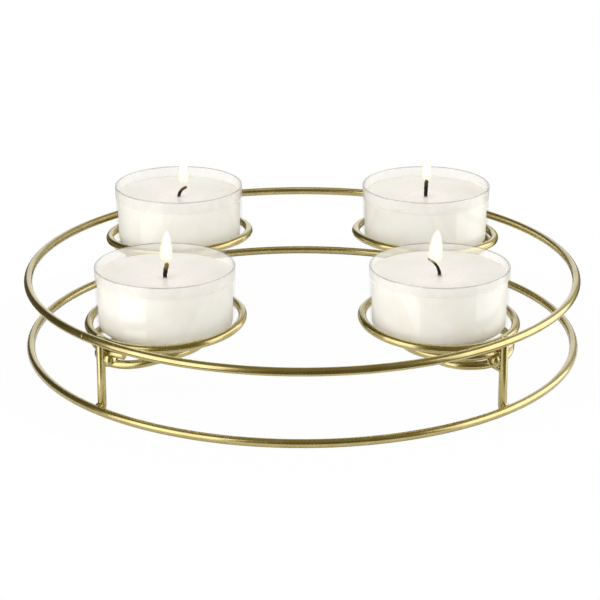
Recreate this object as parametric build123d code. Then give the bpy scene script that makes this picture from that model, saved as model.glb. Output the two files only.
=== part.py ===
# Advent candle holder: a wire wreath frame that carries four candles in clear cups.
# Lengths are in millimetres. +Z is up, the table is at zero and the middle of the frame is the origin.
import math
import os

from build123d import *

os.makedirs("parts", exist_ok=True)

# Wire frame: two equal rings, one above the other, with a post at each corner
ring_outer_diameter = 240.0
wire_diameter = 3.6
ring_spacing = 30.0
weld_gap = 0.05  # left open where two wires are welded side by side
post_inset = 0.6  # each post ends this far short of the rings' centre lines
corner_names = ["front_right", "back_right", "back_left", "front_left"]
first_corner_angle = -45.0

# Candle cup: a clear thin-walled bowl that narrows a little towards its foot
cup_rim_diameter = 57.6
cup_height = 27.2
cup_wall = 0.8
cup_floor = 1.0
cup_taper = 0.45
cup_corner_radius = 3.2
cup_rim_rounding = 0.35

# Cup ring: a closed ring round each cup, leaning down towards its post
cup_ring_play = 1.0
cup_ring_lean = 3.5  # degrees
cup_ring_gap = 0.3  # between the seat wire and the ring above it at the post

# Seat coil: one bent wire that passes the post twice, first low and then at seat level
seat_depth = 6.9  # from the top ring's centre line down to the seat turn's centre line
seat_clearance = 0.25
seat_radius = 22.3  # the level turn that the cup stands on
coil_low_radius = 17.0
coil_inner_radius = 13.5
coil_gap = 0.8  # between the two passes at the post
coil_tail_turn_share = 0.045  # how far the wire runs on under the cup ring

# Wax, wick and wick foot, the same core in every candle
fill_gap = 0.05
wax_meniscus_height = 0.7
wax_dish_depth = 0.8
wick_diameter = 1.7
foot_diameter = 20.0
foot_thickness = 0.4
foot_collar_diameter = 3.4
foot_collar_height = 6.0

# What differs from candle to candle: the share of its cup that has burnt empty, its wick's rise
# as a share of the cup's height, and the angle that the wick has bent over towards +X
front_right_burnt_share = 0.1507
front_right_wick_share = 0.2757
front_right_wick_angle = -66.0
back_right_burnt_share = 0.1985
back_right_wick_share = 0.3015
back_right_wick_angle = 4.0
back_left_burnt_share = 0.1949
back_left_wick_share = 0.1728
back_left_wick_angle = 77.0
front_left_burnt_share = 0.1838
front_left_wick_share = 0.239
front_left_wick_angle = 20.0
candles = {
    "front_right": (front_right_burnt_share, front_right_wick_share, front_right_wick_angle),
    "back_right": (back_right_burnt_share, back_right_wick_share, back_right_wick_angle),
    "back_left": (back_left_burnt_share, back_left_wick_share, back_left_wick_angle),
    "front_left": (front_left_burnt_share, front_left_wick_share, front_left_wick_angle),
}

# Derived frame sizes
wire_radius = wire_diameter / 2
ring_radius = ring_outer_diameter / 2 - wire_radius
bottom_ring_level = wire_radius
top_ring_level = bottom_ring_level + ring_spacing
post_distance = ring_radius - wire_diameter - weld_gap
corner_step = 360.0 / len(corner_names)

# Derived holder sizes
cup_rim_radius = cup_rim_diameter / 2
cup_ring_radius = cup_rim_radius + cup_ring_play + wire_radius
holder_distance = post_distance - wire_diameter - weld_gap - cup_ring_radius
seat_level = top_ring_level - seat_depth
low_level = seat_level - wire_diameter - coil_gap
cup_ring_low_level = seat_level + wire_diameter + cup_ring_gap
cup_ring_fall = cup_ring_radius * math.sin(math.radians(cup_ring_lean))
cup_ring_level = cup_ring_low_level + cup_ring_fall

# Derived candle levels and radii
cup_base_level = seat_level + wire_radius + seat_clearance
cup_rim_level = cup_base_level + cup_height
cup_foot_radius = cup_rim_radius - cup_taper
cup_floor_level = cup_base_level + cup_floor
core_level = cup_floor_level + fill_gap
wick_radius = wick_diameter / 2
bore_radius = wick_radius + fill_gap
standing = (Align.CENTER, Align.CENTER, Align.MIN)


# Points and ways of the coil's centre line: the outermost point of each turn lies at the post
def coil_point(turn, radius, level):
    angle = 2 * math.pi * turn
    return Vector(cup_ring_radius + radius * (math.cos(angle) - 1), radius * math.sin(angle), level)


def coil_way(turn):
    angle = 2 * math.pi * turn
    return Vector(-math.sin(angle), math.cos(angle), 0)


# The wire's stations: a free inner end, the low pass, the seat turn, and a tail under the cup ring
quarter_turn = 0.25
tail_outward = cup_ring_radius * math.cos(2 * math.pi * coil_tail_turn_share)
tail_level = cup_ring_level - tail_outward * math.sin(math.radians(cup_ring_lean)) - wire_diameter - weld_gap
coil_stations = [
    (-2 * quarter_turn, coil_inner_radius, low_level),
    (-quarter_turn, (coil_inner_radius + coil_low_radius) / 2, low_level),
    (0, coil_low_radius, low_level),
    (quarter_turn, seat_radius, seat_level),
    (2 * quarter_turn, seat_radius, seat_level),
    (3 * quarter_turn, seat_radius, seat_level),
    (1, seat_radius, seat_level),
    (1 + coil_tail_turn_share, cup_ring_radius, tail_level),
]


# Two arcs that leave one point and reach another, each along a given way
def biarc(start, start_way, end, end_way):
    chord = end - start
    along = chord.dot(start_way + end_way)
    bend = 2 * (1 - start_way.dot(end_way))
    reach = (math.sqrt(along * along + bend * chord.dot(chord)) - along) / bend
    joint = (start + end + (start_way - end_way) * reach) * 0.5
    first = Edge.make_tangent_arc(start, start_way, joint)
    second = Edge.make_tangent_arc(joint, first % 1, end)
    return [first, second]


def coil_path():
    edges = []
    for station, next_station in zip(coil_stations, coil_stations[1:]):
        ways = coil_way(station[0]), coil_way(next_station[0])
        edges += biarc(coil_point(*station), ways[0], coil_point(*next_station), ways[1])
    return edges


def swept_wire(edges, radius):
    path = Wire(edges)
    section = Plane(origin=path @ 0, z_dir=path % 0) * Circle(radius)
    return sweep(section, path=path).solid()


# Least gap between the coil's turns, measured on points along the bent wire
def coil_self_gap(edges):
    points_per_edge = 24
    near_points = points_per_edge * 2
    points = [edge @ (step / points_per_edge) for edge in edges for step in range(points_per_edge)]
    least = min(
        (points[i] - points[j]).length
        for i in range(len(points))
        for j in range(i + near_points, len(points))
    )
    return least - wire_diameter


def wire_ring(radius):
    return Torus(radius, wire_radius)


def nearest_corner(face, outward, level):
    return face.vertices().sort_by_distance((outward, 0, level))[0]


# A face in the upright plane through the axis, turned once round the axis
def turned(face):
    return revolve(face, Axis.Z).solid()


def upright(outward, level):
    return (outward, 0, level)


def candle_cup():
    inner_rim = cup_rim_radius - cup_wall
    inner_foot = cup_foot_radius - cup_wall
    outline = Polyline(
        upright(0, cup_base_level),
        upright(cup_foot_radius, cup_base_level),
        upright(cup_rim_radius, cup_rim_level),
        upright(inner_rim, cup_rim_level),
        upright(inner_foot, cup_floor_level),
        upright(0, cup_floor_level),
        close=True,
    )
    face = make_face(outline)
    face = fillet(nearest_corner(face, cup_foot_radius, cup_base_level), cup_corner_radius)
    face = fillet(nearest_corner(face, inner_foot, cup_floor_level), cup_corner_radius - cup_wall)
    rim = [nearest_corner(face, edge, cup_rim_level) for edge in (cup_rim_radius, inner_rim)]
    return turned(fillet(rim, cup_rim_rounding))


# Radius of the cup's inside at a level, less the fill gap
def fill_radius(level):
    risen_share = (level - cup_floor_level) / (cup_rim_level - cup_floor_level)
    return cup_foot_radius + cup_taper * risen_share - cup_wall - fill_gap


def wick_foot():
    disc_radius = foot_diameter / 2
    collar_radius = foot_collar_diameter / 2
    disc = Pos(0, 0, core_level) * Cylinder(disc_radius, foot_thickness, align=standing)
    collar = Pos(0, 0, core_level) * Cylinder(collar_radius, foot_collar_height, align=standing)
    bore = Pos(0, 0, core_level) * Cylinder(bore_radius, foot_collar_height, align=standing)
    return (disc + collar - bore).solid()


# The wax fills the cup round the wick and its foot; its top is a shallow dish
def candle_wax(name):
    burnt_share = candles[name][0]
    surface_level = cup_rim_level - cup_height * burnt_share
    edge_level = surface_level + wax_meniscus_height
    middle_level = surface_level - wax_dish_depth
    edge_radius = fill_radius(edge_level)
    foot_radius = fill_radius(core_level)
    sides = Polyline(
        upright(0, middle_level),
        upright(0, core_level),
        upright(foot_radius, core_level),
        upright(edge_radius, edge_level),
    )
    outward = (1, 0, 0)
    dish = Edge.make_tangent_arc(upright(0, middle_level), outward, upright(edge_radius, edge_level))
    face = make_face([*sides.edges(), dish])
    face = fillet(nearest_corner(face, foot_radius, core_level), cup_corner_radius - cup_wall)
    pocket_foot = foot_thickness + fill_gap
    pocket_collar = foot_collar_height + fill_gap
    core = Cylinder(foot_diameter / 2 + fill_gap, pocket_foot, align=standing)
    core += Cylinder(foot_collar_diameter / 2 + fill_gap, pocket_collar, align=standing)
    core += Cylinder(bore_radius, cup_height, align=standing)
    return (turned(face) - Pos(0, 0, core_level) * core).solid()


# The wick stands straight in the wax, then bends over sideways by its own angle
def candle_wick(name):
    burnt_share, rise_share, bend_angle = candles[name]
    bend = math.radians(abs(bend_angle))
    side = math.copysign(1, bend_angle)
    straight_top = cup_rim_level - cup_height * burnt_share - wax_dish_depth
    rise = cup_height * rise_share
    bend_radius = rise / math.sin(bend)
    tip = (side * bend_radius * (1 - math.cos(bend)), 0, straight_top + rise)
    stem = Edge.make_line((0, 0, core_level), (0, 0, straight_top))
    hook = Edge.make_tangent_arc(stem @ 1, stem % 1, tip)
    return swept_wire([stem, hook], wick_radius)


pieces = {}
pieces["bottom_ring"] = Pos(0, 0, bottom_ring_level) * wire_ring(ring_radius)
pieces["top_ring"] = Pos(0, 0, top_ring_level) * wire_ring(ring_radius)

post_length = ring_spacing - 2 * post_inset
post = Cylinder(wire_radius, post_length, align=standing)
post = Pos(post_distance, 0, bottom_ring_level + post_inset) * post
cup_ring = Pos(holder_distance, 0, cup_ring_level) * Rot(0, cup_ring_lean, 0) * wire_ring(cup_ring_radius)
coil_edges = coil_path()
seat_coil = Pos(holder_distance, 0, 0) * swept_wire(coil_edges, wire_radius)
cup = candle_cup()
foot = wick_foot()

for index, name in enumerate(corner_names):
    angle = first_corner_angle + index * corner_step
    turn = Rot(0, 0, angle)
    middle_x = holder_distance * math.cos(math.radians(angle))
    middle_y = holder_distance * math.sin(math.radians(angle))
    place = Pos(middle_x, middle_y, 0)
    pieces[f"post_{name}"] = turn * post
    pieces[f"cup_ring_{name}"] = turn * cup_ring
    pieces[f"seat_coil_{name}"] = turn * seat_coil
    pieces[f"cup_{name}"] = place * cup
    pieces[f"wick_foot_{name}"] = place * foot
    pieces[f"wax_{name}"] = place * candle_wax(name)
    pieces[f"wick_{name}"] = place * candle_wick(name)

for name, piece in pieces.items():
    export_step(piece.solid(), f"parts/{name}.step")

print(f"least gap of the seat coil to itself: {coil_self_gap(coil_edges):.2f} mm")
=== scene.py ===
import bmesh
import bpy
import math
from mathutils import Matrix, Vector, noise


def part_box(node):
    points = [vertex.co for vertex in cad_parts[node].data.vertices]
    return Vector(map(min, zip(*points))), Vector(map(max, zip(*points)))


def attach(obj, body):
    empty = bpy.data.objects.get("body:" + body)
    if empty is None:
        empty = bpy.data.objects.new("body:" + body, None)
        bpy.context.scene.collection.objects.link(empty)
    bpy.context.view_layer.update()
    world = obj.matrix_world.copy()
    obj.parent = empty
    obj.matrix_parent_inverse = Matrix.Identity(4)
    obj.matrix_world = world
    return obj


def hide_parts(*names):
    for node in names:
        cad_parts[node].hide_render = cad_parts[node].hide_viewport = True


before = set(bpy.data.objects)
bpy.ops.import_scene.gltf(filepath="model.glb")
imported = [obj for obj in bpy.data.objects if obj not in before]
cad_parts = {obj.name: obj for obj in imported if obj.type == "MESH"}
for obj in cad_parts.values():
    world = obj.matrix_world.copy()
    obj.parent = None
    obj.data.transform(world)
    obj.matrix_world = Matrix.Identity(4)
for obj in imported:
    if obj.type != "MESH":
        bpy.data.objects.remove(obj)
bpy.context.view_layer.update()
mm = 0.001
black, white = (0, 0, 0, 1), (1, 1, 1, 1)
corners = {"front_right": -45, "back_right": 45, "back_left": 135, "front_left": 225}
print("frame loaded with", len(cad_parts), "nodes")


def link(name, data):
    thing = bpy.data.objects.new(name, data)
    bpy.context.scene.collection.objects.link(thing)
    return thing


# camera where the picture was taken from: a long lens, a little above the candles
camera = {
    "lens": 137.5,
    "sensor": 36.0,
    "distance": 0.9995,
    "elevation": 20.0,
    "aim": (0, 0, 0.0168),
    "shift": (-0.0038, 0.0062),
    "clip": (0.01, 50),
}


def setCamera():
    data = bpy.data.cameras.new("camera")
    data.lens = camera["lens"]
    data.sensor_width = camera["sensor"]
    data.shift_x, data.shift_y = camera["shift"]
    data.clip_start, data.clip_end = camera["clip"]
    rise = math.radians(camera["elevation"])
    back = Vector((0, -math.cos(rise), math.sin(rise)))
    eye = link("camera", data)
    eye.location = Vector(camera["aim"]) + back * camera["distance"]
    eye.rotation_mode = "QUATERNION"
    eye.rotation_quaternion = (-back).to_track_quat("-Z", "Y")
    bpy.context.scene.camera = eye


setCamera()
print("camera set")


# a socket that takes part in sums; each sign adds one Math node
class Sock:
    def __init__(self, nodes, socket):
        self.nodes = nodes
        self.socket = socket

    def maths(self, operation, *values):
        return self.nodes.add("Math", {"operation": operation}, dict(enumerate(values)))

    def __add__(self, other):
        return self.maths("ADD", self, other)

    def __radd__(self, other):
        return self.maths("ADD", other, self)

    def __sub__(self, other):
        return self.maths("SUBTRACT", self, other)

    def __rsub__(self, other):
        return self.maths("SUBTRACT", other, self)

    def __mul__(self, other):
        return self.maths("MULTIPLY", self, other)

    def __rmul__(self, other):
        return self.maths("MULTIPLY", other, self)

    def __pow__(self, other):
        return self.maths("POWER", self, other)

    def most(self, other):
        return self.maths("MAXIMUM", self, other)


# one node tree, of a material or of the world
class Nodes:
    def __init__(self, tree):
        self.tree = tree
        tree.nodes.clear()

    # any node: its type, its settings first, then the values or links of its sockets
    def add(self, kind, settings=None, sockets=None, out=0):
        node = self.tree.nodes.new("ShaderNode" + kind)
        for key, value in (settings or {}).items():
            if key == "stops":
                ramp = node.color_ramp
                ramp.elements[0].position, ramp.elements[-1].position = value[0][0], value[-1][0]
                for stop in value[1:-1]:
                    ramp.elements.new(stop[0])
                for element, stop in zip(ramp.elements, value):
                    element.color = stop[1]
            else:
                setattr(node, key, value)
        for key, value in (sockets or {}).items():
            if isinstance(value, Sock):
                self.tree.links.new(value.socket, node.inputs[key])
            else:
                node.inputs[key].default_value = value
        return Sock(self, node.outputs[out]) if node.outputs else None

    def mix(self, share, first, second):
        return self.add("Mix", {"data_type": "RGBA"}, {0: share, 6: first, 7: second}, 2)

    def blend(self, share, first, second):
        return self.add("MixShader", {}, {0: share, 1: first, 2: second})

    # 0 below low and 1 above high, with a soft start and end
    def step(self, value, low, high):
        sockets = {"Value": value, "From Min": low, "From Max": high}
        return self.add("MapRange", {"interpolation_type": "SMOOTHSTEP"}, sockets)

    def noise(self, where, scale, detail=2.0, roughness=0.5):
        sockets = {"Vector": where, "Scale": scale, "Detail": detail, "Roughness": roughness}
        return self.add("TexNoise", {}, sockets)

    def bump(self, height, strength, distance):
        return self.add("Bump", {}, {"Height": height, "Strength": strength, "Distance": distance})

    # 0 where a surface is looked at squarely, 1 where it is looked along
    def facing(self):
        return self.add("LayerWeight", {}, {"Blend": 0.5}, "Facing")

    def place(self):
        return self.add("TexCoord", {}, {}, "Object")  # the piece's own coordinates, in metres

    def height(self, where):
        return self.add("SeparateXYZ", {}, {0: where}, 2)

    # from 0 to 1 over a stretch that is counted down from a level
    def under(self, where, level, stretch):
        return self.step(self.height(where), level - stretch[0], level - stretch[1])

    # level distance from an upright line
    def reach(self, where, line):
        moved = self.add("VectorMath", {"operation": "SUBTRACT"}, {0: where, 1: line})
        level = self.add("VectorMath", {"operation": "MULTIPLY"}, {0: moved, 1: (1, 1, 0)})
        return self.add("VectorMath", {"operation": "LENGTH"}, {0: level}, 1)

    def ray(self, *kinds):
        seen = self.add("LightPath", {}, {}, f"Is {kinds[0]} Ray")
        for kind in kinds[1:]:
            seen = seen.most(self.add("LightPath", {}, {}, f"Is {kind} Ray"))
        return seen


def newFinish(name):
    material = bpy.data.materials.new(name)
    material.use_nodes = True
    return material, Nodes(material.node_tree)


def shade(nodes, sockets):
    return nodes.add("BsdfPrincipled", {}, sockets)


def output(nodes, surface, kind="OutputMaterial"):
    nodes.add(kind, {}, {"Surface": surface})


# colour as it is seen on a screen, 0 to 255, turned to the renderer's scale
def tone(red, green, blue):
    shares = [value / 255 for value in (red, green, blue)]
    bent = [s / 12.92 if s <= 0.04045 else ((s + 0.055) / 1.055) ** 2.4 for s in shares]
    return (*bent, 1.0)


# satin champagne-gold plating on drawn steel wire; each noise is its scale per metre, detail and roughness
gold = {
    "pale": tone(206, 190, 120),
    "deep": tone(190, 170, 91),
    "cloudNoise": (95, 3),
    "cloudRange": (0.3, 0.7),
    "scuff": tone(150, 126, 58),
    "fleckNoise": (620, 2, 0.65),
    "fleckRange": (0.70, 0.78),
    "fleckShare": 0.3,
    "fleckRough": 0.06,
    "fleckDepth": 0.4,
    "rough": 0.27,
    "weldRough": 0.33,
    "roughNoise": (340, 2),
    "roughSpread": 0.05,
    "grainNoise": (1900, 3, 0.6),
    "grainHeight": 0.12 * mm,
    "grain": 0.012,
    "weldGrain": 0.3,
    "coat": 1.0,
    "coatIor": 2.0,
    "coatRough": 0.11,
}


def goldFinish(name, rough, grain):
    material, nodes = newFinish(name)
    where = nodes.place()
    cloud = nodes.step(nodes.noise(where, *gold["cloudNoise"]), *gold["cloudRange"])
    flecks = nodes.step(nodes.noise(where, *gold["fleckNoise"]), *gold["fleckRange"])
    colour = nodes.mix(cloud, gold["pale"], gold["deep"])
    colour = nodes.mix(flecks * gold["fleckShare"], colour, gold["scuff"])
    spread = gold["roughSpread"] * (nodes.noise(where, *gold["roughNoise"]) - 0.5)
    grains = nodes.noise(where, *gold["grainNoise"]) - gold["fleckDepth"] * flecks
    surface = shade(nodes, {
        "Base Color": colour,
        "Metallic": 1.0,
        "Roughness": rough + spread + gold["fleckRough"] * flecks,
        "Coat Weight": gold["coat"],
        "Coat Roughness": gold["coatRough"],
        "Coat IOR": gold["coatIor"],
        "Normal": nodes.bump(grains, grain, gold["grainHeight"]),
    })
    output(nodes, surface)
    return material


# clear moulded cup: a thin wall seen through, that mirrors more the flatter it is looked along, and less where
# wax stands behind it;
# painted shade greys what is seen through it at the rim and, less where wax stands behind, the flatter it is
# looked along; above the wax a film of it has stayed on the wall
cup = {
    "mirror": tone(246, 248, 248),
    "flowNoise": (120, 2),
    "rough": 0.03,
    "roughSpread": 0.03,
    "wave": 0.05,
    "waveHeight": 0.4 * mm,
    "least": 0.022,
    "most": 0.55,
    "mostPower": 5,
    "rim": 0.17,
    "rimStretch": (0.5 * mm, 0.1 * mm),
    # painted shade: the grey that the seen-through wall takes at the rim and along its outline
    "grey": tone(150, 152, 150),
    "rimGrey": 0.34,
    "edgeGrey": 0.30,
    "greyPower": 4,
    "waxEdge": 0.2,
    "bareStretch": (1.2 * mm, 0.4 * mm),
    "film": 0.36,
    "filmSpread": 0.2,
    "filmTone": tone(253, 250, 245),
    "filmThrough": 0.15,
}


def cupFinish(name):
    rimLevel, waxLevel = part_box("cup_" + name)[1].z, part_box("wax_" + name)[1].z
    material, nodes = newFinish("clearCup_" + name)
    where = nodes.place()
    flow = nodes.noise(where, *cup["flowNoise"])
    flat = nodes.facing()
    rim = nodes.under(where, rimLevel, cup["rimStretch"])
    bare = nodes.under(where, waxLevel, cup["bareStretch"])
    edge = cup["waxEdge"] + (1 - cup["waxEdge"]) * bare
    mirrored = cup["least"] + cup["most"] * edge * flat ** cup["mostPower"] + cup["rim"] * rim
    wall = shade(nodes, {
        "Base Color": cup["mirror"],
        "Metallic": 1.0,
        "Roughness": cup["rough"] + cup["roughSpread"] * flow,
        "Normal": nodes.bump(flow, cup["wave"], cup["waveHeight"]),
    })
    # painted shade at the rim and along the outline
    paintedGrey = cup["rimGrey"] * rim + cup["edgeGrey"] * edge * flat ** cup["greyPower"]
    clear = nodes.add("BsdfTransparent", {}, {"Color": nodes.mix(paintedGrey, white, cup["grey"])})
    lit = nodes.add("BsdfDiffuse", {}, {"Color": cup["filmTone"]})
    through = nodes.add("BsdfTranslucent", {}, {"Color": cup["filmTone"]})
    film = nodes.blend(cup["filmThrough"], lit, through)
    filmed = bare * (cup["film"] + cup["filmSpread"] * (flow - 0.5))
    clear = nodes.blend(filmed * (1 - rim), clear, film)
    output(nodes, nodes.blend(mirrored, clear, wall))
    return material


# ivory wax: matt outside, wet round the burning wick, where the flame's light is painted on the top as a warmer
# tint and a faint glow
wax = {
    "ivory": tone(252, 249, 240),
    "cloud": tone(247, 243, 232),
    "cloudNoise": (85, 4, 0.55),
    "cloudRange": (0.35, 0.7),
    # painted flame light near the wick: its tint, its glow and how far they reach
    "flameLitTint": tone(254, 245, 238),
    "glow": tone(44, 30, 24),
    "glowReach": (2.6 * mm, 26 * mm),
    "wetReach": (6 * mm, 15 * mm),
    "wanderNoise": (130, 2),
    "wander": 8 * mm,
    "topStretch": (6 * mm, 1 * mm),
    "rough": 0.46,
    "wetGloss": 0.26,
    "cloudRough": 0.1,
    "ior": 1.43,
    "subsurface": 0.35,
    "subsurfaceRadius": (1.0, 0.8, 0.6),
    "subsurfaceScale": 4 * mm,
    "fineNoise": (900, 2),
    "fineShare": 0.3,
    "lumpNoise": (160, 3),
    "lumps": 0.12,
    "lumpHeight": 0.6 * mm,
}


def waxFinish(name):
    low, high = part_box("wax_" + name)
    middle = ((low.x + high.x) / 2, (low.y + high.y) / 2, high.z)
    material, nodes = newFinish("ivoryWax_" + name)
    where = nodes.place()
    top = nodes.under(where, high.z, wax["topStretch"])
    cloud = nodes.noise(where, *wax["cloudNoise"])
    wander = (nodes.noise(where, *wax["wanderNoise"]) - 0.5) * wax["wander"]
    out = nodes.reach(where, middle) + wander
    # where the flame's light is painted onto the wax top
    near = (1 - nodes.step(out, *wax["glowReach"])) * top
    wet = (1 - nodes.step(out, *wax["wetReach"])) * top
    colour = nodes.mix(nodes.step(cloud, *wax["cloudRange"]), wax["ivory"], wax["cloud"])
    lumps = nodes.noise(where, *wax["fineNoise"]) * wax["fineShare"] + nodes.noise(where, *wax["lumpNoise"])
    surface = shade(nodes, {
        "Base Color": nodes.mix(near, colour, wax["flameLitTint"]),
        "Roughness": wax["rough"] - wax["wetGloss"] * wet + wax["cloudRough"] * (cloud - 0.5),
        "IOR": wax["ior"],
        "Subsurface Weight": wax["subsurface"],
        "Subsurface Radius": wax["subsurfaceRadius"],
        "Subsurface Scale": wax["subsurfaceScale"],
        # painted glow of the flame's light on the wax
        "Emission Color": nodes.mix(near, black, wax["glow"]),
        "Emission Strength": 1.0,
        "Normal": nodes.bump(lumps * (1 - wet), wax["lumps"], wax["lumpHeight"]),
    })
    output(nodes, surface)
    return material


# tinned foot that holds the wick upright, under the wax
tin = {
    "bright": tone(196, 198, 198),
    "dull": tone(160, 162, 162),
    "stampNoise": (700, 3),
    "rough": 0.34,
    "roughSpread": 0.2,
    "stamp": 0.1,
    "stampHeight": 0.1 * mm,
}


def tinFinish():
    material, nodes = newFinish("tinFoot")
    stamped = nodes.noise(nodes.place(), *tin["stampNoise"])
    surface = shade(nodes, {
        "Base Color": nodes.mix(stamped, tin["bright"], tin["dull"]),
        "Metallic": 1.0,
        "Roughness": tin["rough"] + tin["roughSpread"] * (stamped - 0.5),
        "Normal": nodes.bump(stamped, tin["stamp"], tin["stampHeight"]),
    })
    output(nodes, surface)
    return material


# braided cotton wick: soaked in wax below, charred above, scorched brown with a faint glow at the tip
wick = {
    "radius": 0.85 * mm,
    "dip": 1.5 * mm,
    "strands": 3,
    "crossing": 2.1 * mm,
    "relief": 0.20,
    "rowHeight": 0.16 * mm,
    "around": 28,
    "tipShare": 0.45,
    "tipStretch": 1.1 * mm,
    "rise": {"front_right": 7.5, "back_right": 8.2, "back_left": 4.7, "front_left": 6.5},
    "bend": {"front_right": -66, "back_right": 4, "back_left": 77, "front_left": 20},
    "thin": {"front_right": 0.66, "back_right": 1.1, "back_left": 0.82, "front_left": 1.15},
    "brown": {"front_right": 0.2, "back_right": 0.3, "back_left": 0.45, "front_left": 1.0},
    "soaked": tone(226, 210, 180),
    "charred": tone(13, 10, 7),
    "scorched": tone(122, 98, 38),
    "ember": tone(64, 40, 8),
    "ashNoise": (1400, 3, 0.6),
    "ashRange": (0.4, 0.6),
    "ragged": 1.6 * mm,
    "burntFrom": (-0.2 * mm, 0.9 * mm),
    "hotFrom": (-3.6 * mm, -1.2 * mm),
    "emberFrom": (-2.4 * mm, 0.4 * mm),
    "rough": 0.45,
    "charRough": 0.45,
    "fluff": 0.5,
    "fluffHeight": 0.3 * mm,
}


def wickFinish(name, level, tip):
    material, nodes = newFinish("wick_" + name)
    where = nodes.place()
    ash = nodes.noise(where, *wick["ashNoise"])
    height = nodes.height(where) + (ash - 0.5) * wick["ragged"]
    burnt = nodes.step(height, *[level + part for part in wick["burntFrom"]])
    hot = nodes.step(height, *[tip + part for part in wick["hotFrom"]])
    ember = nodes.step(height, *[tip + part for part in wick["emberFrom"]]) * nodes.step(ash, *wick["ashRange"])
    colour = nodes.mix(burnt, wick["soaked"], wick["charred"])
    surface = shade(nodes, {
        "Base Color": nodes.mix(hot * wick["brown"][name], colour, wick["scorched"]),
        "Roughness": wick["rough"] + wick["charRough"] * burnt,
        "Emission Color": nodes.mix(ember * wick["brown"][name], black, wick["ember"]),
        "Emission Strength": 1.0,
        "Normal": nodes.bump(ash, wick["fluff"], wick["fluffHeight"]),
    })
    output(nodes, surface)
    return material


def newPiece(name, body, points, faces, materials, slot):
    mesh = bpy.data.meshes.new(name)
    mesh.from_pydata(points, [], faces)
    for material in materials:
        mesh.materials.append(material)
    for face in mesh.polygons:
        face.use_smooth = True
    piece = link(name, mesh)
    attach(piece, body)
    return piece


def circle(count):
    return [2 * math.pi * step / count for step in range(count)]


# rings of points joined to a closed skin
def skin(rings):
    count = len(rings[0])
    points = [point for ring in rings for point in ring]
    faces = []
    for row in range(len(rings) - 1):
        here, there = row * count, (row + 1) * count
        for step in range(count):
            other = (step + 1) % count
            faces.append((here + step, here + other, there + other, there + step))
    faces.append(tuple(reversed(range(count))))
    faces.append(tuple(range(len(points) - count, len(points))))
    return points, faces


def candleMiddle(name):
    low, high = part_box("cup_" + name)
    return (low + high) / 2


def makeWick(name):
    middle = candleMiddle(name)
    low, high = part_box("wick_" + name)
    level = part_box("wax_" + name)[1].z - wick["dip"]
    rise, bend = wick["rise"][name] * mm, math.radians(abs(wick["bend"][name]))
    side = math.copysign(1, wick["bend"][name])
    turn = rise / math.sin(bend)  # radius of the bent part
    straight, bent = level - low.z, turn * bend
    total = straight + bent
    rows = int(total / wick["rowHeight"])
    rings = []
    for row in range(rows + 1):
        along = total * row / rows
        past = max(0.0, along - straight) / turn
        x = middle.x + side * turn * (1 - math.cos(past))
        centre = Vector((x, middle.y, min(low.z + along, level) + turn * math.sin(past)))
        across = Vector((math.cos(past), 0, -side * math.sin(past)))
        left = total - along  # the last stretch narrows to a ragged tip
        burnt = min(1.0, max(0.0, 1 - left / bent) * 2)
        taper = min(1.0, wick["tipShare"] + left / wick["tipStretch"])
        taper *= 1 - burnt * (1 - wick["thin"][name])
        braid = math.pi * along / wick["crossing"]
        ring = []
        for angle in circle(wick["around"]):
            strand = wick["strands"] * angle / 2
            ridge = max(abs(math.cos(strand + braid)), abs(math.cos(strand - braid)))
            size = wick["radius"] * taper * (1 - wick["relief"] + wick["relief"] * ridge)
            ring.append(centre + across * math.cos(angle) * size + Vector((0, math.sin(angle) * size, 0)))
        rings.append(ring)
    finish = wickFinish(name, level, high.z)
    piece = newPiece("braidedWick_" + name, "candle_" + name, *skin(rings), [finish], "wick")
    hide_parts("wick_" + name)


# flames: a bright core in a fainter mantle; sizes in mm, shifts counted from the candle's middle
flame = {
    "sizes": {
        "front_right": {"base": 51.2, "tip": 69.2, "width": 6.4, "shift": -1.9, "lean": 0.6, "point": 0.52},
        "front_left": {"base": 52.0, "tip": 69.2, "width": 5.7, "shift": 0.6, "lean": 0.5, "point": 0.72},
        "back_left": {"base": 49.9, "tip": 69.2, "width": 5.0, "shift": 2.2, "lean": 0.2, "point": 0.62},
        "back_right": {"base": 52.3, "tip": 69.2, "width": 5.0, "shift": 0.2, "lean": 0.2, "point": 0.62},
    },
    "shells": {
        "mantle": {
            "grown": 1.0, "drop": 0.0, "thick": 0.45, "strength": 1.1,
            "stops": [(0.0, tone(255, 226, 160)), (0.3, tone(255, 244, 200)), (1.0, tone(255, 250, 226))],
        },
        "core": {
            "grown": 0.80, "drop": 0.9, "thick": 0.95, "strength": 1.5,
            "stops": [
                (0.0, tone(255, 240, 200)), (0.3, tone(255, 250, 230)),
                (0.6, tone(255, 253, 240)), (1.0, tone(255, 254, 246)),
            ],
        },
    },
    "widest": 0.26,
    "blunt": 0.002,
    "fade": (0.12, 0.42),
    "outlinePower": 3,
    "rows": 48,
    "around": 32,
}


def flameFinish(name, shell, low, high):
    material, nodes = newFinish(name)
    height = nodes.step(nodes.height(nodes.place()), low, high)
    inside = 1 - nodes.facing() ** flame["outlinePower"]  # thinner towards its outline
    surface = shade(nodes, {
        "Base Color": black,
        "Roughness": 1.0,
        "Specular IOR Level": 0.0,
        "Emission Color": nodes.add("ValToRGB", {"stops": shell["stops"]}, {0: height}),
        "Emission Strength": shell["strength"],
        "Alpha": nodes.step(height, *flame["fade"]) * inside * shell["thick"],
    })
    output(nodes, surface)
    return material


# width of a flame at a share of its height: round below, drawn to a point above
def flameWidth(up, point):
    widest = flame["widest"]
    if up < widest:
        return (1 - (1 - up / widest) ** 2) ** 0.5
    return (1 - ((up - widest) / (1 - widest)) ** 2) ** point


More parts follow.
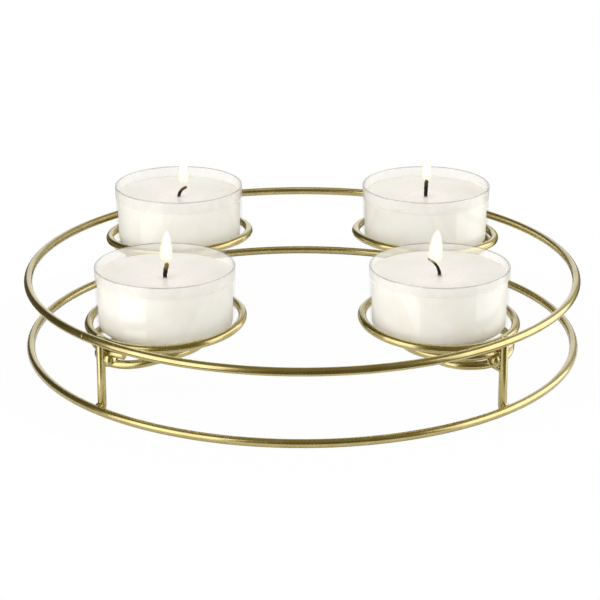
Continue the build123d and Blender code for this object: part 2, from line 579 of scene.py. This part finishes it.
def makeFlame(name):
    sizes = flame["sizes"][name]
    middle = candleMiddle(name)
    low, high = sizes["base"] * mm, sizes["tip"] * mm
    points, faces, slots, finishes = [], [], [], []
    for look, shell in flame["shells"].items():
        rings = []
        for row in range(flame["rows"] + 1):
            up = flame["blunt"] + (1 - 2 * flame["blunt"]) * row / flame["rows"]
            x = middle.x + (sizes["shift"] + sizes["lean"] * up * up) * mm
            z = low + (high - shell["drop"] * mm - low) * up
            size = 0.5 * sizes["width"] * mm * shell["grown"] * flameWidth(up, sizes["point"])
            rings.append([Vector((x + size * math.cos(angle), middle.y + size * math.sin(angle), z))
                          for angle in circle(flame["around"])])
        morePoints, moreFaces = skin(rings)
        start = len(points)
        points += morePoints
        faces += [tuple(start + index for index in face) for face in moreFaces]
        slots += [len(finishes)] * len(moreFaces)
        finishes.append(flameFinish(f"flame_{look}_{name}", shell, low, high))
    piece = newPiece("flame_" + name, "candle_" + name, points, faces, finishes, None)
    for face, slot in zip(piece.data.polygons, slots):
        face.material_index = slot
    piece.visible_shadow = False


# weld fillets: stubs of the joined wires and fillers between them, melted together and smoothed;
# levels and places along a wire are in mm, and each filler is its half sizes outward, sideways and up
weld = {
    "wire": 1.8 * mm,
    "stub": 0.90,
    "stubSides": 24,
    "fillerSides": (20, 14),
    "voxel": 0.22 * mm,
    "flow": 0.5,
    "rounds": 14,
    "hammer": 0.06 * mm,
    "hammerScale": 900,
    "postAt": 114.55 * mm,
    "ringAt": 118.2 * mm,
    "holderAt": 110.9 * mm,
    "ends": {"top": (31.8, -1), "bottom": (1.8, 1)},
    "ringHalf": 3.2,
    "postStart": 1.0,
    "postLength": 5.4,
    "touch": 0.9,
    "ringFill": (0.8 * mm, 1.9 * mm, 1.3 * mm),
    "held": (20.5, 24.9, 28.8),
    "holderPost": (17.6, 30.6),
    "holderHalf": 2.2,
    "holderFill": (0.8 * mm, 1.7 * mm, 1.2 * mm),
}
# web of weld beside each post, between the two turns of the seat coil
web = {
    "level": 22.7,
    "farAt": 3.4,
    "farFill": (1.1 * mm, 2.8 * mm, 2.6 * mm),
    "nearAt": 2.2,
    "nearLift": 10.8,
    "nearFill": (1.7 * mm, 2.4 * mm, 2.8 * mm),
    "bead": 1.15 * mm,
    "beadDrop": 1.4,
    "foot": {"front_right": 17.4, "front_left": 20.0, "back_right": 19.0, "back_left": 19.4},
    "reach": {"front_right": 5.0, "front_left": 3.4, "back_right": 4.0, "back_left": 3.6},
}


def stub(bm, start, end, radius):
    way = end - start
    place = Matrix.Translation((start + end) / 2) @ way.to_track_quat("Z", "Y").to_matrix().to_4x4()
    bmesh.ops.create_cone(
        bm, cap_ends=True, segments=weld["stubSides"],
        radius1=radius, radius2=radius, depth=way.length, matrix=place,
    )


def filler(bm, middle, sizes, turn):
    place = Matrix.Translation(middle) @ turn @ Matrix.Diagonal((*sizes, 1))
    around, rows = weld["fillerSides"]
    bmesh.ops.create_uvsphere(bm, u_segments=around, v_segments=rows, radius=1.0, matrix=place)


def makeWeld(name, bm, finish):
    mesh = bpy.data.meshes.new(name + "_raw")
    bm.to_mesh(mesh)
    bm.free()
    raw = link(name + "_raw", mesh)
    melt = raw.modifiers.new("melt", "REMESH")
    melt.mode, melt.voxel_size, melt.use_smooth_shade = "VOXEL", weld["voxel"], True
    flow = raw.modifiers.new("flow", "SMOOTH")
    flow.factor, flow.iterations = weld["flow"], weld["rounds"]
    bpy.context.view_layer.update()
    done = bpy.data.meshes.new_from_object(raw.evaluated_get(bpy.context.evaluated_depsgraph_get()))
    bpy.data.objects.remove(raw)
    done.name = name
    done.materials.clear()
    done.materials.append(finish)
    for vertex in done.vertices:  # hammered look of a hand weld
        vertex.co += Vector(vertex.normal) * weld["hammer"] * noise.noise(vertex.co * weld["hammerScale"])
    piece = link(name, done)
    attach(piece, "frame")


# outward and sideways at an angle round the frame
def compass(degrees):
    angle = math.radians(degrees)
    return Vector((math.cos(angle), math.sin(angle), 0)), Vector((-math.sin(angle), math.cos(angle), 0))


def cornerWelds(name, finish):
    out, side = compass(corners[name])
    up = Vector((0, 0, 1))
    turn = Matrix((out, side, up)).transposed().to_4x4()
    thin = weld["wire"] * weld["stub"]
    post = out * weld["postAt"]
    for end, (level, inward) in weld["ends"].items():
        bm = bmesh.new()
        ring = out * weld["ringAt"] + up * level * mm
        half = side * weld["ringHalf"] * mm
        stub(bm, ring - half, ring + half, thin)
        base = post + up * (level - weld["postStart"] * inward) * mm
        stub(bm, base, base + up * inward * weld["postLength"] * mm, thin)
        touch = post + out * weld["wire"] + up * (level + weld["touch"] * inward) * mm
        filler(bm, touch, weld["ringFill"], turn)
        makeWeld(f"weld_{end}_{name}", bm, finish)
    bm = bmesh.new()
    bottom, top = weld["holderPost"]
    stub(bm, post + up * bottom * mm, post + up * top * mm, thin)
    for level in weld["held"]:
        held = out * weld["holderAt"] + up * level * mm
        half = side * weld["holderHalf"] * mm
        stub(bm, held - half, held + half, thin)
        filler(bm, held + out * weld["wire"], weld["holderFill"], turn)
    inner = side * math.copysign(1, -side.x * out.x)  # the post's side that looks to the frame's middle line
    between = out * weld["holderAt"] + up * web["level"] * mm
    filler(bm, between + inner * web["farAt"] * mm, web["farFill"], turn)
    beside = (post + between) / 2 + inner * web["nearAt"] * mm + up * web["nearLift"] * mm
    filler(bm, beside, web["nearFill"], turn)
    foot = post + up * web["foot"][name] * mm
    head = between + inner * web["reach"][name] * mm - up * web["beadDrop"] * mm
    stub(bm, foot, head, web["bead"])
    makeWeld("weld_holder_" + name, bm, finish)


# butt seams where each big ring was closed: a low, uneven band round the wire
seam = {
    "angles": {"top_ring": 222.2, "bottom_ring": 98.0},
    "width": 1.6 * mm,
    "proud": 0.16 * mm,
    "sunk": 0.06 * mm,
    "power": 0.7,
    "lump": 0.7,
    "lumpSpread": 0.6,
    "lumpScale": 2.3,
    "rows": 14,
    "around": 36,
}


def makeSeam(node, finish):
    low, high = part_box(node)
    out, along = compass(seam["angles"][node])
    middle = out * weld["ringAt"] + Vector((0, 0, (low.z + high.z) / 2))
    rings = []
    for row in range(seam["rows"] + 1):
        share = 2 * row / seam["rows"] - 1
        swell = seam["proud"] * max(0.0, 1 - share * share) ** seam["power"]
        ring = []
        for angle in circle(seam["around"]):
            way = out * math.cos(angle) + Vector((0, 0, math.sin(angle)))
            uneven = noise.noise(way * seam["lumpScale"] + along * share)
            size = weld["wire"] - seam["sunk"] + swell * (seam["lump"] + seam["lumpSpread"] * uneven)
            ring.append(middle + along * share * seam["width"] / 2 + way * size)
        rings.append(ring)
    newPiece("seam_" + node, "frame", *skin(rings), [finish], "gold_wire")


def dress(node, finish):
    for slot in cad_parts[node].material_slots:
        slot.material = finish


goldWire = goldFinish("goldWire", gold["rough"], gold["grain"])
goldWeld = goldFinish("goldWeld", gold["weldRough"], gold["weldGrain"])
tinFoot = tinFinish()
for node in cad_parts:
    if node.startswith(("top_ring", "bottom_ring", "post_", "cup_ring_", "seat_coil_")):
        dress(node, goldWire)
    elif node.startswith("cup_"):
        dress(node, cupFinish(node.removeprefix("cup_")))
    elif node.startswith("wick_foot_"):
        dress(node, tinFoot)
    elif node.startswith("wax_"):
        dress(node, waxFinish(node.removeprefix("wax_")))
print("CAD nodes dressed")

for name in corners:
    makeWick(name)
    makeFlame(name)
print("wicks and flames made")

for name in corners:
    cornerWelds(name, goldWeld)
for node in seam["angles"]:
    makeSeam(node, goldWeld)
print("welds made")


# round table a little wider than the object: the camera sees it nearly white, with a trace of the shadow
table = {
    "radius": 0.145,
    "sides": 96,
    "colour": (0.90, 0.90, 0.89, 1),
    "speckNoise": (60, 2),
    "rough": 0.85,
    "roughSpread": 0.1,
    "gloss": 0.1,
    "white": 0.97,
}


def makeTable():
    material, nodes = newFinish("whiteTable")
    speck = nodes.noise(nodes.place(), *table["speckNoise"])
    matt = shade(nodes, {
        "Base Color": table["colour"],
        "Roughness": table["rough"] + table["roughSpread"] * speck,
        "Specular IOR Level": table["gloss"],
    })
    bright = nodes.add("Emission", {}, {"Color": white, "Strength": 1.0})
    output(nodes, nodes.blend(nodes.ray("Camera", "Transmission") * table["white"], matt, bright))
    radius = table["radius"]
    edge = [(radius * math.cos(angle), radius * math.sin(angle), 0) for angle in circle(table["sides"])]
    mesh = bpy.data.meshes.new("table")
    mesh.from_pydata(edge, [], [tuple(range(len(edge)))])
    mesh.materials.append(material)
    link("table", mesh)


makeTable()
print("table made")


# studio: a strong light at front left, a wide one at right, a soft one in front that metal doesn't mirror and a
# narrow one over the back; metal mirrors a white backdrop behind and dim walls elsewhere;
# ranges are of a direction's share wide, deep or high
studio = {
    "lamps": {
        "left": {
            "at": (-0.78, -0.58, 0.17), "aim": (0, 0, 0.03), "size": (0.90, 1.38),
            "strength": 1.9, "spread": 180, "mirrored": True,
        },
        "right": {
            "at": (1.02, 0.06, 0.20), "aim": (0, 0, 0.03), "size": (1.50, 1.36),
            "strength": 1.55, "spread": 180, "mirrored": True,
        },
        "front": {
            "at": (0.3, -1.3, 0.50), "aim": (0, 0, 0.03), "size": (1.2, 0.6),
            "strength": 0.75, "spread": 180, "mirrored": False,
        },
        "above": {
            "at": (0, 0.15, 0.55), "aim": (0, 0.15, 0), "size": (0.9, 0.2),
            "strength": 0.06, "spread": 40, "mirrored": True,
        },
    },
    "ambient": (0.56, 0.56, 0.56, 1),
    "sky": (0.70, 0.70, 0.70, 1),
    "skyHigh": (0.2, 0.9),
    "dimLeft": (0.07, 0.06, 0.038, 1),
    "dimRight": (0.44, 0.41, 0.32, 1),
    "dimWide": (-0.3, 0.1),
    "dark": (0.115, 0.096, 0.04, 1),
    "darkDeep": (-0.6, 0.0),
    "darkHigh": (-0.05, 0.12),
    "top": (0.22, 0.19, 0.11, 1),
    "topHigh": (0.55, 0.9),
    "backdropDeep": (0.4, 0.7),
    "backdropHigh": (0.3, 0.6),
    "backdropFoot": (-0.04, 0.02),
    "upperWideSquared": (0.06, 0.14),
    "lowerWideSquared": (0.012, 0.035),
}


def softbox(name, sizes):
    data = bpy.data.lights.new("softbox_" + name, "AREA")
    data.shape = "RECTANGLE"
    data.size, data.size_y = sizes["size"]
    data.energy = sizes["strength"] * math.pi * data.size * data.size_y
    data.spread = math.radians(sizes["spread"])
    lamp = link("softbox_" + name, data)
    lamp.location = sizes["at"]
    lamp.rotation_mode = "QUATERNION"
    lamp.rotation_quaternion = (Vector(sizes["aim"]) - Vector(sizes["at"])).to_track_quat("-Z", "Y")
    lamp.visible_glossy = sizes["mirrored"]


def setWorld():
    world = bpy.data.worlds.new("studio")
    bpy.context.scene.world = world
    world.use_nodes = True
    nodes = Nodes(world.node_tree)
    way = nodes.add("TexCoord", {}, {}, "Generated")
    wide, deep, high = [nodes.add("SeparateXYZ", {}, {0: way}, axis) for axis in "XYZ"]
    dim = nodes.mix(nodes.step(wide, *studio["dimWide"]), studio["dimLeft"], studio["dimRight"])
    mirrored = nodes.mix(nodes.step(deep, *studio["darkDeep"]), studio["dark"], dim)
    mirrored = nodes.mix(nodes.step(high, *studio["topHigh"]), mirrored, studio["top"])
    mirrored = nodes.mix(nodes.step(high, *studio["darkHigh"]), studio["dark"], mirrored)
    raised = nodes.step(high, *studio["backdropFoot"])
    upper = (1 - nodes.step(wide * wide, *studio["upperWideSquared"])) * raised
    lower = (1 - nodes.step(wide * wide, *studio["lowerWideSquared"])) * (1 - raised)
    behind = nodes.step(deep, *studio["backdropDeep"]) * (1 - nodes.step(high, *studio["backdropHigh"]))
    mirrored = nodes.mix(behind * (upper + lower), mirrored, white)
    ambient = nodes.mix(nodes.step(high, *studio["skyHigh"]), studio["ambient"], studio["sky"])
    colour = nodes.mix(nodes.ray("Glossy"), ambient, mirrored)
    colour = nodes.mix(nodes.ray("Camera", "Transmission"), colour, white)
    output(nodes, nodes.add("Background", {}, {"Color": colour, "Strength": 1.0}), "OutputWorld")


for name, lamp in studio["lamps"].items():
    softbox(name, lamp)
setWorld()
bpy.context.scene.view_settings.view_transform = "Standard"
print("studio lit")
